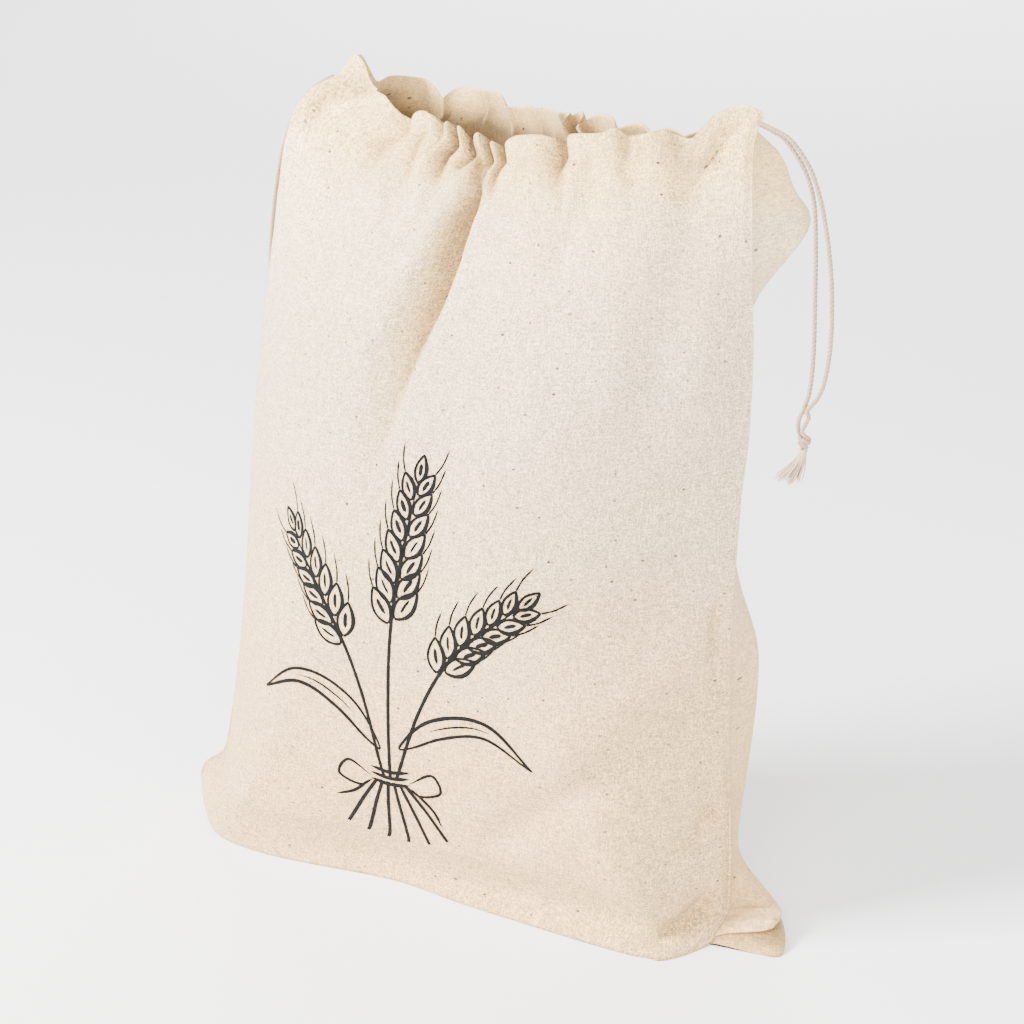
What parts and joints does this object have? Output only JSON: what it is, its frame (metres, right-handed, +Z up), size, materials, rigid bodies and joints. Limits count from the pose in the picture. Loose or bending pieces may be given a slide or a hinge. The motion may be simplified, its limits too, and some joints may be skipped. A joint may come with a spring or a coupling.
{
  "type": "linen bread bag",
  "caption": "Upright linen bread bag with an open gathered mouth, a doubled hem and thin twisted drawstrings, each knotted and frayed at the end.",
  "frame": {"origin": "centre of the bottom of the cloth body's bounding box, on the surface the bag stands on", "axes": "+Z up along the bag's height, +X along its width towards the right-hand seam, -Y towards the printed front"},
  "size_m": [0.3066, 0.1141, 0.353],
  "materials": {
    "front cloth": "matte plain weave with a few brown flecks",
    "back cloth": "matte plain weave with a few brown flecks",
    "cord right outer": "matte twisted cord",
    "cord right inner": "matte twisted cord",
    "cord left outer": "matte twisted cord",
    "cord left inner": "matte twisted cord",
    "knot right": "matte knotted cord",
    "knot left": "matte knotted cord",
    "frayed end right": "matte loose yarn",
    "frayed end left": "matte loose yarn"
  },
  "bodies": {
    "root": {"front_panel": "front cloth", "back_panel": "back cloth", "cord_right_outer": "cord right outer", "cord_right_inner": "cord right inner", "cord_left_outer": "cord left outer", "cord_left_inner": "cord left inner", "knot_right": "knot right", "knot_left": "knot left", "frayed_end_right": "frayed end right", "frayed_end_left": "frayed end left"}
  },
  "joints": []
}
